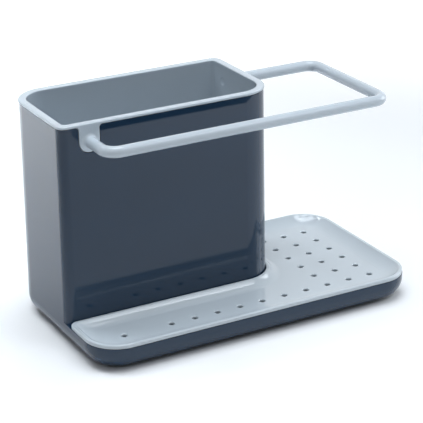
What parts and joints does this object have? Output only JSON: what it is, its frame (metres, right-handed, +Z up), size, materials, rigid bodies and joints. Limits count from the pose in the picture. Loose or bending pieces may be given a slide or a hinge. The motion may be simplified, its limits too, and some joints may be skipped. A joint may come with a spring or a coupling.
{
  "type": "kitchen sink caddy",
  "caption": "Sink-side caddy with a tall brush holder, a lift-out divided liner carrying a round cloth rail, and a drained drip tray over a shallow base.",
  "frame": {"origin": "middle of the base's footprint, on the surface that the feet stand on", "axes": "+X along the long side, from the holder towards the open end of the drip tray; +Y to the back; +Z up"},
  "size_m": [0.2098, 0.1158, 0.133],
  "materials": {
    "outer_body_plastic": "dark slate blue moulded ABS, polished to a gloss",
    "liner_plastic": "pale blue-grey moulded ABS, semi-gloss",
    "divider_plastic": "pale blue-grey moulded ABS, semi-gloss",
    "tray_plastic": "pale blue-grey moulded ABS, semi-gloss",
    "foot_rubber": "matt dark rubber"
  },
  "bodies": {
    "root": {"outer_body": "outer_body_plastic", "foot_front_left": "foot_rubber", "foot_front_right": "foot_rubber", "foot_back_left": "foot_rubber", "foot_back_right": "foot_rubber"},
    "liner": {"liner": "liner_plastic", "hanging_rail": "liner_plastic"},
    "divider": {"divider": "divider_plastic"},
    "drip_tray": {"drip_tray": "tray_plastic"}
  },
  "joints": [
    {"name": "liner_lift", "type": "slide", "parent": "root", "child": "liner", "axis": [0, 0, 1], "range_m": [0, 0.13]},
    {"name": "divider_lift", "type": "slide", "parent": "liner", "child": "divider", "axis": [0, 0, 1], "range_m": [0, 0.12]},
    {"name": "tray_lift", "type": "slide", "parent": "root", "child": "drip_tray", "axis": [0, 0, 1], "range_m": [0, 0.08]}
  ]
}
